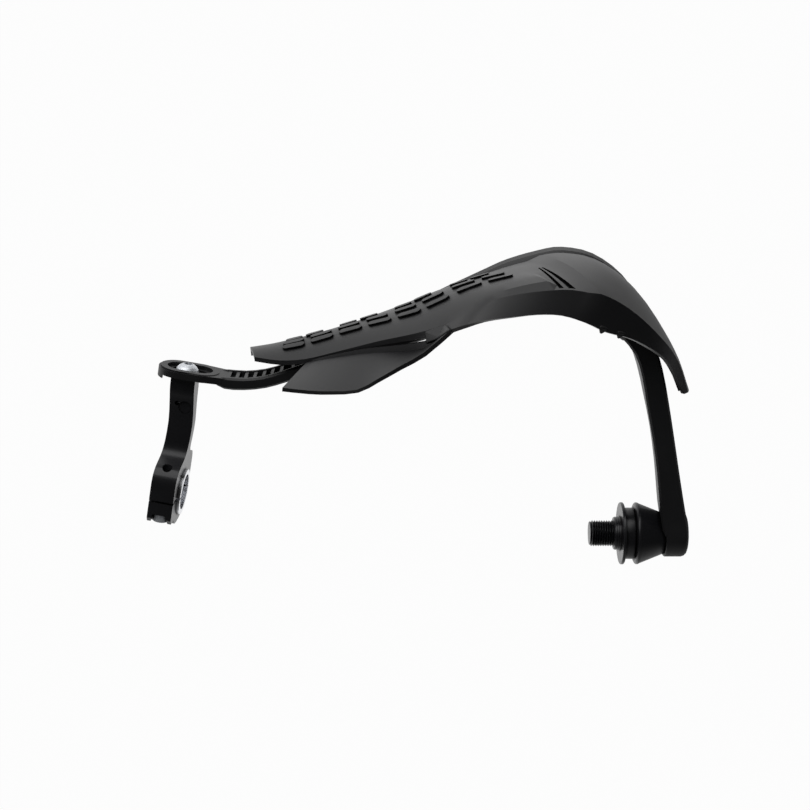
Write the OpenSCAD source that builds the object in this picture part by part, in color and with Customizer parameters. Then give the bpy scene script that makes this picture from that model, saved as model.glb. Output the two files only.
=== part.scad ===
// Right-hand hand guard for a motorcycle handlebar.
// The frame is the handlebar's: the bar end's axis is X with the outboard end at +X, +Y is the way the
// motorcycle goes and +Z is up. The origin lies on the bar's axis, where the stud's thread meets its collar.

/* [Overall] */
// Distance along the bar from its end face to the middle of the mounting slot
span = 261.2; // [230:0.2:296]
// Distance from the bar's axis forward to the nose of the shield
reach = 168; // [150:1:185]
// Height of the bar end above the inboard mounting slot
rise = 18; // [8:1:28]

/* [Shield] */
// Height of the shield from its top crease to the lower crest
shield_h = 81; // [70:1:92]
// Wall of the moulded shield
shield_wall = 2.6; // [2:0.1:3.4]
// Forward bulge of the shield's face
shield_bulge = 4.5; // [2:0.5:7]
// How far the outboard panel stands above the inboard face
panel_step = 1.8; // [1:0.1:3]
// How far the face stands out at the facet below the crease
facet_h = 3; // [1:0.1:4]
// Depth of the two wedge grooves beside the panel
wedge_depth = 1.6; // [0.8:0.1:2]
// How far the relief bars stand above the face
relief_h = 1.3; // [0.6:0.1:2.4]
// Number of motifs in the row of relief bars
relief_n = 8; // [4:1:10]
// Depth of the lip below the shield's lower crest
lip_drop = 17; // [10:0.5:22]
// Wall of the upper winglet
winglet_wall = 2.4; // [2:0.1:3.4]
// How far the winglet's top edge stands above the shield's inboard tip
winglet_h = 50; // [40:1:56]
// Diameter of the screw bosses inside the shield
boss_d = 10; // [8.5:0.5:13]

/* [Backbone] */
// Thickness of the slotted mounting plate
plate_t = 4.7; // [4:0.1:6]
// Width of the slotted mounting plate
plate_w = 26; // [23:0.5:30]
// Thickness of the backbone along the neck
neck_t = 7.3; // [6.5:0.1:9]
// Width of the backbone along the neck
neck_w = 20.6; // [18:0.2:24]
// Thickness of the backbone at the outboard bend
bend_t = 12.6; // [11:0.2:15]
// Thickness of the backbone along the strut
strut_t = 10.8; // [10:0.2:13]
// Width of the backbone along the strut
strut_w = 28; // [24:0.5:28.5]
// Web left behind the cross ribs
web_t = 4.4; // [3.4:0.1:5.5]
// Width of the rims along the cross ribs
rim_w = 3; // [2:0.1:4]
// Distance between the fine cross ribs of the neck
fine_pitch = 5.2; // [4.6:0.1:6.5]
// Thickness of the cross ribs
rib_t = 2; // [1.4:0.1:2.4]

/* [Mounting slot] */
// Length of the slot between the centres of its round ends
slot_travel = 12.4; // [8:0.2:14]
// Place of the screw along the slot, from the slot's middle
slot_place = -1.6; // [-3:0.2:3]
// Width of the slot
slot_w = 9; // [8.6:0.1:10]
// Width of the recess that holds the screw's head
recess_w = 15.6; // [15:0.1:17]
// Depth of the recess that holds the screw's head
recess_depth = 2.2; // [1.6:0.1:2.8]
// Sideways slope of the plate in plan, in degrees
plate_yaw = 10; // [4:0.5:12]

/* [Arm and clamp] */
// Distance from the handlebar's axis to the plate's underside
arm_l = 76; // [66:1:86]
// Width of the arm along the handlebar
arm_w = 15; // [14:0.2:18]
// Depth of the arm's waist
arm_depth = 10; // [9:0.5:13]
// Depth of the arm's head below the plate
head_depth = 14.5; // [13:0.5:18]
// Turn of the arm about the slot screw, in degrees
arm_turn = 3.5; // [0:0.5:12]
// Outside diameter of the handlebar at the clamp
bar_d = 22.2; // [22:0.1:23]
// Outside diameter of the reducer shells
reducer_d = 28.6; // [27.6:0.1:29.6]
// How far the reducer shells stand out of each side of the clamp
reducer_stand = 2; // [0.5:0.1:3]
// Half the height of the clamp, from the bore's axis to the end of each ear
ear_reach = 25.5; // [24:0.5:28]
// Depth of the cap behind the split
cap_depth = 14; // [13:0.5:17]
// Distance from the handlebar's axis to each clamp bolt
bolt_offset = 19.4; // [18.6:0.1:20.5]
// Gap between the arm and the cap
clamp_gap = 1.2; // [0.8:0.1:2]
// Nominal diameter of the clamp bolts
clamp_bolt_d = 6; // [5:0.5:6]

/* [Slot screw] */
// Nominal diameter of the slot screw
slot_screw_d = 8; // [8:0.1:8.2]
// Head diameter of the slot screw
slot_head_d = 14; // [13:0.5:15]
// Head height of the slot screw
slot_head_h = 4.4; // [3.8:0.1:5]
// How deep the slot screw reaches into the arm
slot_screw_grip = 18; // [14:1:22]

/* [Bar end] */
// Major diameter of the thread that enters the handlebar
stud_d = 16; // [14:0.5:18]
// Length of that thread
stud_l = 15; // [12:0.5:20]
// Diameter of the stepped collar behind the thread
collar_d = 21.3; // [20:0.1:22]
// Length of the stepped collar
collar_l = 4; // [3:0.1:6]
// Diameter of the flange that covers the bar's end
flange_d = 38.4; // [36:0.2:42]
// Thickness of the flange
flange_t = 2; // [1.6:0.1:3]
// Diameter of the spacer ring
spacer_d = 31.8; // [28:0.2:34]
// Length of the spacer ring
spacer_l = 6.6; // [5:0.2:9]
// Large diameter of the cone
cone_d = 38.4; // [36:0.2:42]
// Small diameter of the cone, against the backbone's boss
cone_end_d = 25.4; // [24:0.2:27.6]
// Length of the cone
cone_l = 18.2; // [15:0.2:20]
// Diameter of the backbone's boss at the bar end
eye_d = 28.8; // [28:0.2:32]
// Length of the backbone's boss along the bar
eye_l = 14; // [13:0.5:18]
// Nominal diameter of the bolt through the bar end
end_bolt_d = 8; // [7.5:0.1:8.5]

/* [Hidden] */
$fn = 64;

// Curve helpers: a smooth run through hand-placed points, and small vector helpers
function blend(a, b, t) = a + (b - a) * t;
function unit(v) = v / max(norm(v), 0.000001);
function ease(t) = let (u = min(1, max(0, t))) u * u * (3 - 2 * u);
function spline(a, b, c, d, t) =
    0.5 * (2 * b + (c - a) * t + (2 * a - 5 * b + 4 * c - d) * t * t + (3 * b - a - 3 * c + d) * t * t * t);
function run(list, s) =
    let (n = len(list) - 1, i = min(n - 1, max(0, floor(s))))
    spline(list[max(0, i - 1)], list[i], list[i + 1], list[min(n, i + 2)], s - i);
// Hand-placed points, laid out at these sizes and stretched when a size changes
plan_span = 265.2;
plan_reach = 168;
plan_h = 81;
function along(x) = x < 0 ? x * (span + collar_l) / plan_span : x;
function place(p) = [along(p.x), p.y * reach / plan_reach, p.z * shield_h / plan_h];
function placed(list) = [for (p = list) place(p)];

// The points count from the flange's face, which lies outboard of the origin by the collar's length
module from_flange() {
    translate([collar_l, 0, 0]) children();
}

// Closed shell between two grids of the same size
function cell(a, b, c, d) = [[a, b, c], [a, c, d]];
function grid_faces(m, n) =
    let (k = m * n)
    [
        for (i = [0:m - 2]) for (j = [0:n - 2])
            for (f = cell(i * n + j, i * n + j + 1, (i + 1) * n + j + 1, (i + 1) * n + j)) f,
        for (i = [0:m - 2]) for (j = [0:n - 2])
            let (a = k + i * n + j)
            for (f = cell(a, a + n, a + n + 1, a + 1)) f,
        for (i = [0:m - 2])
            for (f = cell(i * n, (i + 1) * n, k + (i + 1) * n, k + i * n)) f,
        for (i = [0:m - 2])
            for (f = cell(i * n + n - 1, k + i * n + n - 1, k + (i + 1) * n + n - 1, (i + 1) * n + n - 1)) f,
        for (j = [0:n - 2])
            for (f = cell(j, k + j, k + j + 1, j + 1)) f,
        for (j = [0:n - 2])
            let (a = (m - 1) * n + j)
            for (f = cell(a, a + 1, k + a + 1, k + a)) f
    ];
module shell(outer, inner) {
    m = len(outer);
    n = len(outer[0]);
    pts = [for (r = outer) for (p = r) p, for (r = inner) for (p = r) p];
    polyhedron(points = pts, faces = grid_faces(m, n), convexity = 10);
}

// Shield: its rear edge, top crease and lower crest from the inboard tip to the outboard end
rear_edge = placed([[-224, 108.4, -7.6], [-208.5, 107.3, -3.4], [-193, 109.1, 0], [-177.5, 113.8, 4],
    [-162, 118.7, 7.9], [-147, 123.4, 11.6], [-131.5, 127.2, 15.8], [-116.5, 131.4, 21.4], [-103, 140, 33.6],
    [-88, 144.6, 36.8], [-73, 147.2, 39.4], [-58.5, 149.2, 41.5], [-44.5, 149, 42.8], [-31, 145, 43.5],
    [-18, 139, 42.4], [-5, 134.8, 38.6], [7.5, 128, 34.8], [18, 119.7, 29.5], [25.4, 107.8, 23.6],
    [31.8, 95.6, 18.7]]);
crease = placed([[-224, 111, -8], [-208.5, 110, -3.8], [-193, 111.8, -0.4], [-177.5, 116.5, 3.6],
    [-162, 121.5, 7.5], [-147, 126.3, 11.2], [-131.5, 130.6, 15.2], [-115.5, 136, 19.4], [-101, 144.8, 25],
    [-85, 154.6, 31.2], [-69.5, 159.4, 35], [-54, 162.2, 38], [-38.5, 163, 39.1], [-23, 159.7, 39.5],
    [-10, 153, 36.5], [2, 144, 33.3], [13, 133.5, 29.3], [22, 123.5, 24.6], [29, 111.5, 20],
    [34.4, 96, 16.5]]);
crest = placed([[-228.5, 112, -28], [-215, 113.6, -30.4], [-202, 116, -32.8], [-188.5, 119, -34.3],
    [-175.5, 122.4, -35.6], [-162, 126.6, -36.6], [-149, 131, -38], [-135.5, 135.8, -39.4],
    [-122.5, 141, -40.8], [-109, 146, -42], [-96, 150.5, -42], [-82.5, 155.2, -42], [-69, 159.8, -42],
    [-50, 164.6, -42], [-36, 166.4, -42], [-17, 163.2, -42], [2, 151.5, -41], [17, 132.8, -36.5],
    [29.5, 113.6, -21], [38.4, 92, -5.6]]);
rows = len(crest) - 1;
// Share of the lip's full depth, and how far it stands out from the crest, at the same places
lip_share = [0.12, 0.12, 0.12, 0.12, 0.12, 0.12, 0.14, 0.16, 0.24, 0.4,
    0.58, 0.74, 0.84, 0.9, 0.95, 0.92, 0.78, 0.5, 0.22, 0.12];
lip_out = [-2, -2.4, -2.4, -2.4, -2.4, -2.4, -2.4, -2.4, -2, -1.2,
    -0.4, 0.6, 1.6, 2.2, 2.4, 1.8, 0.6, -0.6, -1.6, -2];
groove_in = [2, 2.4, 2.4, 2.4, 2.4, 2.4, 2.4, 2.6, 3, 3.4, 3.8, 4, 4, 4, 4, 4, 3.6, 3, 2.4, 2];
// Share of the bulge at the same places
bulge_share = [0.3, 0.5, 0.7, 0.85, 1, 1, 1, 1, 1, 1, 1, 1, 1, 1, 1, 0.88, 0.68, 0.46, 0.26, 0.12];
// Facet below the crease: it rises over these rows and ends at the wedge grooves
facet_t = 0.085;
facet_from = 8.6;
facet_to = 11.34;
facet_fade = 0.5;
// Slanted chamfer of the panel, in rows, and where the panel has sunk back into the face
step_row = 13;
step_width = 0.42;
panel_end = 18;
face_n = 8;
band_n = 3;

function outward(s) =
    let (a = run(crease, s - 0.3) + run(crest, s - 0.3),
        b = run(crease, s + 0.3) + run(crest, s + 0.3),
        d = b - a)
    unit([-d.y, d.x, 0]);
function raised(s) = s > facet_to ? 0 : facet_h * min(1, max(0, (s - facet_from) / (facet_to - facet_from)));
function bulged(s, t) =
    blend(run(crease, s), run(crest, s), t)
    + outward(s) * (shield_bulge * run(bulge_share, s) * 4 * t * (1 - t)
        + raised(s) * (1 - ease((t - facet_t) / facet_fade)));
function face_point(s, t) =
    t >= facet_t ? bulged(s, t) : blend(run(crease, s), bulged(s, facet_t), t / facet_t);
function face_normal(s, t) =
    let (u = max(0.05, min(rows - 0.05, s)), w = max(0.03, min(0.97, t)))
    unit(cross(
        face_point(u + 0.04, w) - face_point(u - 0.04, w),
        face_point(u, w + 0.02) - face_point(u, w - 0.02)));
// One station of the shield from the rear edge over the crease and the crest to the lip
function station(s) =
    let (o = outward(s), b = run(crest, s), down = lip_drop * run(lip_share, s), out = run(lip_out, s))
    [
        for (j = [0:band_n]) blend(run(rear_edge, s), run(crease, s), j / band_n),
        for (j = [0:face_n - 1]) face_point(s, blend(facet_t, 1, j / face_n)),
        b,
        b - o * run(groove_in, s) - [0, 0, down * 0.3],
        b + o * (out - 1) - [0, 0, down * 0.62],
        b + o * out - [0, 0, down]
    ];
profile_n = band_n + face_n + 5;
corner_gain = [for (j = [0:profile_n - 1])
    j == band_n ? 1.3 : j >= profile_n - 4 && j < profile_n - 1 ? 1.15 : 1];
stations = concat(
    [for (i = [0:1:step_row * 3 - 2]) i / 3],
    [step_row - step_width, step_row],
    [for (i = [step_row * 3 + 1:1:rows * 3]) i / 3]);
base = [for (s = stations) station(s)];
function grid_normal(i, j) =
    let (m = len(base) - 1, n = profile_n - 1,
        i0 = max(0, i - 1), i1 = min(m, i + 1), j0 = max(0, j - 1), j1 = min(n, j + 1))
    unit(cross(base[i1][j] - base[i0][j], base[i][j1] - base[i][j0]));
normals = [for (i = [0:len(base) - 1]) [for (j = [0:profile_n - 1]) grid_normal(i, j)]];
// The outboard panel stands proud of the face, from its slanted chamfer outwards
function proud(s, j) =
    panel_step * min(1, max(0, (s - step_row + step_width) / step_width))
    * ease((panel_end - s) / (panel_end - step_row)) * (j > profile_n - 4 ? 0 : min(1, j / band_n));
outer_grid = [for (i = [0:len(stations) - 1]) [for (j = [0:profile_n - 1])
    base[i][j] + normals[i][j] * proud(stations[i], j)]];
inner_grid = [for (i = [0:len(stations) - 1]) [for (j = [0:profile_n - 1])
    base[i][j] - normals[i][j] * shield_wall * corner_gain[j]]];

// Winglet above and behind the blade: front of its ledge, and its top edge
ledge_edge = placed([[-192, 110.4, -0.6], [-184, 113.4, 2.6], [-172, 117, 6.2], [-158.5, 120.6, 10],
    [-146, 123, 13.2], [-133, 125.2, 16.6], [-121.5, 128, 20], [-113.5, 133.4, 25]]);
wing_low = placed([[-192, 110, -0.4], [-184, 112.4, 3], [-172, 115.2, 6.8], [-158.5, 118, 10.8],
    [-146, 119.7, 14.2], [-133, 121.2, 17.8], [-121.5, 124.6, 21.4], [-112.5, 133, 27]]);
wing_top = placed([[-203.5, 106.2, 41.4], [-188, 104.6, 42], [-175, 104.2, 42], [-160.5, 105, 41.4],
    [-149, 110.8, 39.8], [-135.5, 118.4, 38.2], [-122.5, 125.6, 36.8], [-107, 139, 35.2]]);
wing_lean = winglet_h / 50;
function wing_station(s) =
    let (l = run(ledge_edge, s), w = run(wing_low, s), u = run(wing_top, s), top = w + (u - w) * wing_lean)
    [top, blend(w, top, 0.7), blend(w, top, 0.35), w, l];
wing_base = [for (s = [0:0.5:len(wing_top) - 1]) wing_station(s)];
function wing_normal(i, j) =
    let (m = len(wing_base) - 1, n = 4,
        i0 = max(0, i - 1), i1 = min(m, i + 1), j0 = max(0, min(n - 2, j - 1)), j1 = min(n - 1, j + 1))
    unit(cross(wing_base[i1][j] - wing_base[i0][j], wing_base[i][j1] - wing_base[i][j0]));
wing_inner = [for (i = [0:len(wing_base) - 1]) [for (j = [0:4])
    wing_base[i][j] - (j == 4 ? [0, 0, winglet_wall * 0.8] : wing_normal(i, j) * winglet_wall)]];

// Backbone: its middle line in plan, its height, thickness and width along the way
spine_plan = [[-248.9, 96.4], [-242.5, 94.3], [-231, 93.5], [-218.5, 94.8], [-206, 98.4], [-188, 104.6],
    [-170, 110.8], [-152, 117.2], [-134, 123.6], [-116, 130.1], [-99, 136.2], [-82, 142.2], [-65, 148],
    [-47, 151.8], [-29, 150.2], [-14, 143.6], [-2, 133.4], [8, 121.2], [13.6, 107], [18.4, 88],
    [23.2, 67], [27.2, 46], [29.8, 31], [32, 18], [34, 8], [34.8, 1]];
spine_z = [-18, -18, -18, -18, -18, -17.6, -17, -16, -14.4, -12.4, -10.2, -8, -6, -4.2, -2.8, -1.8, -1,
    -0.4, 0, 0, 0, 0, 0, 0, 0, 0];
spine_last = len(spine_plan) - 1;
thick_points = [plate_t - 1.3, neck_t, neck_t, neck_t, neck_t, neck_t + 0.6, neck_t + 1.2, neck_t + 1.8,
    neck_t + 2.2, neck_t + 2.6, neck_t + 2.8, neck_t + 3, neck_t + 3.2, bend_t - 2, bend_t - 1, bend_t,
    bend_t, bend_t, bend_t - 0.4, bend_t - 1, strut_t, strut_t + 0.4, strut_t + 1.4, eye_l - 0.8,
    eye_l - 0.4, eye_l - 0.4];
width_points = [neck_w, neck_w, neck_w, neck_w, neck_w, neck_w, neck_w + 0.4, neck_w + 1, neck_w + 1.8,
    neck_w + 2.8, neck_w + 3.8, neck_w + 4.6, neck_w + 5.4, strut_w - 1.4, strut_w - 0.6, strut_w,
    strut_w, strut_w, strut_w, strut_w, strut_w, strut_w, strut_w, strut_w, strut_w, strut_w];
channel_end = 16;
bar_rise = rise / 18;
boss_x0 = flange_t + spacer_l + cone_l;
boss_x1 = boss_x0 + eye_l;
boss_x = (boss_x0 + boss_x1) / 2;
plan_boss_x = 34.8;
function spine(s) =
    let (p = run(spine_plan, s), q = ease((s - 17) / 6))
    [blend(along(p.x), p.x + boss_x - plan_boss_x, q), p.y * reach / plan_reach, run(spine_z, s) * bar_rise];
function spine_angle(s) =
    let (a = spine(max(0, s - 0.05)), b = spine(min(spine_last, s + 0.05)))
    atan2(b.y - a.y, b.x - a.x);
function spine_t(s) = run(thick_points, s);
function spine_w(s) = run(width_points, s);
function channel(s) = s > channel_end ? 0 : (spine_t(s) - web_t) * min(1, (channel_end - s) * 1.5);
edge_cut = 1.2;
panel_depth = 0.4;
// The strut's inner side is drafted, so that its top is wider than its underside
strut_draft = 2;
function bar_ring(s) =
    let (h = spine_t(s) / 2, w = spine_w(s) / 2, c = edge_cut, k = strut_draft * ease((s - 17) / 3),
        r = w - rim_w, d = h - max(panel_depth, channel(s)))
    [[-h, -w + c], [-h + c, -w], [h - c, -w], [h, -w + c], [h, -r], [d, -r + 0.4],
     [d, r - 0.4], [h, r], [h, w - c], [h - c, w], [-h + c - k, w], [-h - k, w - c]];
ring_n = 12;
bar_cuts = 2;
module bar() {
    st = [for (i = [0:spine_last * bar_cuts]) i / bar_cuts];
    n = len(st);
    pts = [for (s = st)
        let (p = spine(s), a = spine_angle(s))
        for (q = bar_ring(s)) [p.x - sin(a) * q[0], p.y + cos(a) * q[0], p.z + q[1]]];
    sides = [for (i = [0:n - 2]) for (j = [0:ring_n - 1])
        let (k = (j + 1) % ring_n)
        for (f = cell(i * ring_n + j, (i + 1) * ring_n + j, (i + 1) * ring_n + k, i * ring_n + k)) f];
    lids = [[for (j = [0:ring_n - 1]) j], [for (j = [ring_n - 1:-1:0]) (n - 1) * ring_n + j]];
    polyhedron(points = pts, faces = concat(sides, lids), convexity = 8);
}
// Places children on the backbone: x along it, y out towards the shield, z up
module on_spine(s) {
    translate(spine(s)) rotate([0, 0, spine_angle(s)]) children();
}

// Fixings between the backbone and the shield
fix_at = [6.2, 10.4, 13.4, 16.2];
fix_screw_d = 5;
fix_head_d = 9;
fix_head_h = 2.8;
fix_fit = 0.05;
pad_h = 1.2;
pad_d = 12;
pilot_d = fix_screw_d + 2 * fix_fit;
fix_reach = [5.2, 5.6, 6.4, 5];
seat_cut = 1;
function fix_front(k) = spine_t(fix_at[k]) / 2 + pad_h;
function fix_rear(k) = -spine_t(fix_at[k]) / 2 + seat_cut;

// Mounting slot and its local frame: x along the plate, y towards the front, z up
slot_at = [-span - collar_l, 97 * reach / plan_reach, -rise];
recess_y = plate_t - recess_depth;
module plate_frame() {
    translate(slot_at) rotate([0, 0, -plate_yaw]) children();
}
module arm_frame() {
    plate_frame() translate([slot_place, 0, 0]) rotate([0, -arm_turn, 0]) children();
}
module capsule(width, length, height) {
    linear_extrude(height = height) union() {
        translate([-length / 2, -width / 2]) square([length, width]);
        translate([-length / 2, 0]) circle(d = width);
        translate([length / 2, 0]) circle(d = width);
    }
}
// Cylinder and capsule along +y from y0 to y1
module rod_y(d, y0, y1) {
    translate([0, y0, 0]) rotate([-90, 0, 0]) cylinder(d = d, h = y1 - y0);
}
module capsule_y(width, length, y0, y1) {
    translate([0, y0, 0]) rotate([-90, 0, 0]) capsule(width, length, y1 - y0);
}
skirt_drop = 2.2;
skirt_wall = 1.6;
skirt_reach = 4;
plate_tail = 24;
tail_w = neck_w - 1;

module mount_plate() {
    difference() {
        union() {
            capsule_y(plate_w, slot_travel, 0, plate_t - 0.9);
            capsule_y(plate_w - 2.4, slot_travel, 0, plate_t);
            rotate([-90, 0, 0]) linear_extrude(height = plate_t - 0.4)
                polygon([[0, -plate_w / 2], [slot_travel / 2, -plate_w / 2], [plate_tail, -tail_w / 2],
                    [plate_tail, tail_w / 2], [slot_travel / 2, plate_w / 2], [0, plate_w / 2]]);
            intersection() {
                capsule_y(plate_w, slot_travel, -skirt_drop, 0.1);
                translate([-slot_travel / 2 - plate_w / 2 - 1, -skirt_drop, -plate_w])
                    cube([skirt_reach + 1, skirt_drop + 0.1, 2 * plate_w]);
            }
        }
        capsule_y(slot_w, slot_travel, -5, plate_t + 5);
        capsule_y(recess_w, slot_travel, recess_y, plate_t + 5);
        capsule_y(plate_w - 2 * skirt_wall, slot_travel, -skirt_drop - 1, 0);
    }
}

module shield() {
    color([0.10, 0.10, 0.11]) from_flange() difference() {
        union() {
            shell(outer_grid, inner_grid);
            shell(wing_base, wing_inner);
            vent_post();
            relief_bars();
            for (k = [0:3]) screw_boss(k);
            edge_tabs();
        }
        wedge_grooves();
        for (k = [0:3]) on_spine(fix_at[k]) rod_y(pilot_d, fix_front(k) - 1, fix_front(k) + fix_reach[k]);
    }
}
module bead(p, d) {
    translate(p) sphere(d = d, $fn = 12);
}
// Triangular web that closes the outboard end of the vent
module vent_post() {
    t = winglet_wall;
    hull() {
        bead(run(crease, 6.7) - [0, 1.4, 0.4], t);
        bead(run(crease, 7.4) - [0, 2, 0], t);
        bead(run(ledge_edge, 6.2) - [0, 1.2, 0], t);
        bead(run(wing_low, 6.9) - [0, 0.4, 0], t);
    }
    hull() {
        bead(run(crease, 7.4) - [0, 2, 0], t);
        bead(run(rear_edge, 7.45) + [0, 1, -1], t);
        bead(run(wing_low, 6.9) - [0, 0.4, 0], t);
        bead(run(wing_top, 6.9) - [0, 0.4, 1.4], t);
    }
}
// Row of slanted relief bars along the blade
bar_w = 4.6;
bar_first = 1.8;
bar_last = 10.35;
function bar_row(i) = blend(bar_first, bar_last, i / (relief_n - 1));
module on_face(s, t) {
    n = face_normal(s, t);
    translate(face_point(s, t)) rotate([0, acos(n.z), atan2(n.y, n.x)]) children();
}
module stroke(s0, t0, s1, t1) {
    hull() {
        on_face(s0, t0) translate([0, 0, -1]) cylinder(d = bar_w, h = relief_h + 1, $fn = 12);
        on_face(s1, t1) translate([0, 0, -1]) cylinder(d = bar_w, h = relief_h + 1, $fn = 12);
    }
}
module relief_bars() {
    for (i = [0:relief_n - 1]) {
        s = bar_row(i);
        stroke(s - 0.34, 0.42, s + 0.3, 0.41);
        stroke(s - 0.24, 0.6, s + 0.36, 0.59);
        if (i % 2 == 1) stroke(s - 0.36, 0.78, s + 0.1, 0.77);
        if (i % 2 == 0) stroke(s - 0.05, 0.77, s + 0.38, 0.76);
    }
}
// Two wedge-shaped grooves beside the panel, widening towards the crease
module wedge_groove(s0, s1, s2, t0, t1) {
    cuts = 3;
    edges = [for (k = [0:cuts])
        let (u = k / cuts, c = blend(s0, (s1 + s2) / 2, u), h = blend(0.03, (s2 - s1) / 2, u))
        [c - h, c + h, blend(t0, t1, u)]];
    function side(depth) = [for (r = edges) [for (s = [r[0], r[1]])
        face_point(s, r[2]) + face_normal(s, r[2]) * depth]];
    shell(side(3), side(-wedge_depth));
}
module wedge_grooves() {
    wedge_groove(12.17, 11.6, 11.77, 0.58, 0.03);
    wedge_groove(12.28, 11.94, 12.2, 0.58, 0.03);
}
// Bosses that the screws cut into, from the backbone's pads into the wall
module screw_boss(k) {
    intersection() {
        on_spine(fix_at[k]) rod_y(boss_d, fix_front(k), fix_front(k) + 40);
        face_core();
    }
}
core_depth = 24;
module face_core() {
    st = [for (s = [1:0.5:rows - 1]) s];
    across = [0.06, 0.3, 0.5, 0.7, 0.96];
    skin = shield_wall * 0.6;
    outer = [for (s = st) [for (t = across) face_point(s, t) - face_normal(s, t) * skin]];
    inner = [for (s = st) [for (t = across) face_point(s, t) - outward(s) * core_depth]];
    shell(outer, inner);
}
// Small locating tabs below the band near the bend
module edge_tabs() {
    for (s = [13.7, 14.5]) {
        hull() {
            bead(run(rear_edge, s) - [0.2, -1.5, 1], 2.6);
            bead(run(rear_edge, s + 0.22) - [0.2, -1.5, 1], 2.6);
            bead(run(rear_edge, s + 0.11) - [1.2, 1, 1.6], 2);
        }
    }
}

rib_from = 0.7;
fine_length = 46;
neck_spacing = 11.4;
coarse_ribs = [5.2, 7, 8, 9, 11.2, 12.2, 14.2, 15];
module cross_rib(s) {
    floor_y = web_t - spine_t(s) / 2;
    on_spine(s) translate([-rib_t / 2, floor_y - 0.5, -spine_w(s) / 2 + rim_w - 0.6])
        cube([rib_t, spine_t(s) / 2 - floor_y, spine_w(s) - 2 * rim_w + 1.2]);
}
module backbone() {
    color([0.12, 0.12, 0.12]) from_flange() difference() {
        union() {
            plate_frame() mount_plate();
            bar();
            for (x = [0:fine_pitch:fine_length]) cross_rib(rib_from + x / neck_spacing);
            for (s = coarse_ribs) cross_rib(s);
            for (k = [0:3]) on_spine(fix_at[k]) rod_y(pad_d, 1 - spine_t(fix_at[k]) / 2, fix_front(k));
            boss_eye();
        }
        for (k = [0:3]) {
            on_spine(fix_at[k]) rod_y(pilot_d, -20, fix_front(k) + 1);
            on_spine(fix_at[k]) rod_y(fix_head_d + 1.6, -20, fix_rear(k));
        }
        boss_cuts();
        plate_frame() capsule_y(recess_w, slot_travel, recess_y, plate_t + 5);
    }
}
// Boss at the bar end, with its rounded outer rim
sleeve_d = 12;
sleeve_fit = 0.03;
head_pocket_d = 19;
head_pocket = 6.2;
module rod_x(d, x0, x1) {
    translate([x0, 0, 0]) rotate([0, 90, 0]) cylinder(d = d, h = x1 - x0);
}
module boss_eye() {
    r = eye_d / 2;
    rotate([0, 90, 0]) rotate_extrude($fn = 96)
        polygon([[0, boss_x0], [r - 0.6, boss_x0], [r, boss_x0 + 0.6], [r, boss_x1 - 3.4],
            [r - 0.5, boss_x1 - 1.8], [r - 1.6, boss_x1 - 0.6], [r - 3, boss_x1], [0, boss_x1]]);
}
module boss_cuts() {
    rod_x(sleeve_d + 2 * sleeve_fit, boss_x0 - 1, boss_x1 + 1);
    rod_x(head_pocket_d, boss_x1 - head_pocket, boss_x1 + 1);
    rod_x(eye_d, boss_x0 - 4, boss_x0);
}

// Steel sleeve that carries the bolt's load through the boss
end_bolt_fit = 0.1;
sleeve_l = eye_l - head_pocket;
module boss_sleeve() {
    color([0.62, 0.63, 0.65]) from_flange() difference() {
        rod_x(sleeve_d, boss_x0, boss_x0 + sleeve_l);
        rod_x(end_bolt_d + 2 * end_bolt_fit, boss_x0 - 1, boss_x1 + 1);
    }
}
washer_d = 17;
washer_t = 1.6;
module bar_end_washer() {
    color([0.55, 0.56, 0.58]) from_flange() difference() {
        rod_x(washer_d, boss_x0 + sleeve_l, boss_x0 + sleeve_l + washer_t);
        rod_x(end_bolt_d + 2 * end_bolt_fit, boss_x0 - 1, boss_x1 + 1);
    }
}
end_head_d = 14;
end_head_h = 4.4;
end_hex = 5;
end_bolt_grip = 12;
end_bolt_x = boss_x0 + sleeve_l + washer_t;
end_bolt_tip = -end_bolt_grip;
module button_head(d, h, hex) {
    r = d / 2;
    difference() {
        rotate_extrude($fn = 64)
            polygon([[0, 0], [r - 0.3, 0], [r, 0.5], [r - 0.5, h * 0.36], [r - 1.6, h * 0.66],
                [r - 3.2, h * 0.9], [r - 4.2, h], [0, h]]);
        translate([0, 0, h - 2.8]) cylinder(d = hex / cos(30), h = 3, $fn = 6);
    }
}
module bar_end_bolt() {
    color([0.16, 0.16, 0.17]) from_flange() union() {
        translate([end_bolt_x, 0, 0]) rotate([0, 90, 0]) button_head(end_head_d, end_head_h, end_hex);
        rod_x(end_bolt_d, end_bolt_tip, end_bolt_x + 0.5);
    }
}

// Turned parts at the end of the handlebar
stud_x0 = -collar_l - stud_l;
bore_in = end_bolt_d + 2 * end_bolt_fit;
module turned(points) {
    rotate([0, 90, 0]) rotate_extrude($fn = 96) polygon([for (p = points) [p[1] / 2, p[0]]]);
}
collar_steps = 3;
module bar_end_stud() {
    step = collar_l / collar_steps;
    color([0.18, 0.18, 0.19]) from_flange() difference() {
        union() {
            turned([[stud_x0, 0], [stud_x0, stud_d - 2], [stud_x0 + 1, stud_d], [-0.2, stud_d], [-0.2, 0]]);
            for (i = [0:collar_steps - 1])
                let (x = i * step - collar_l, d = collar_d - 0.8 + i * 0.4)
                turned([[x, 0], [x, d - 0.8], [x + 0.6 * step, d], [x + step, d], [x + step, 0]]);
            turned([[-0.1, 0], [-0.1, collar_d - 2], [0, collar_d - 2], [0, flange_d - 0.6], [0.3, flange_d],
                [flange_t - 0.4, flange_d], [flange_t, flange_d - 0.8], [flange_t, 0]]);
        }
        rod_x(bore_in, end_bolt_tip - 1.5, flange_t + 1);
    }
}
spacer_groove = 0.9;
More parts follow.
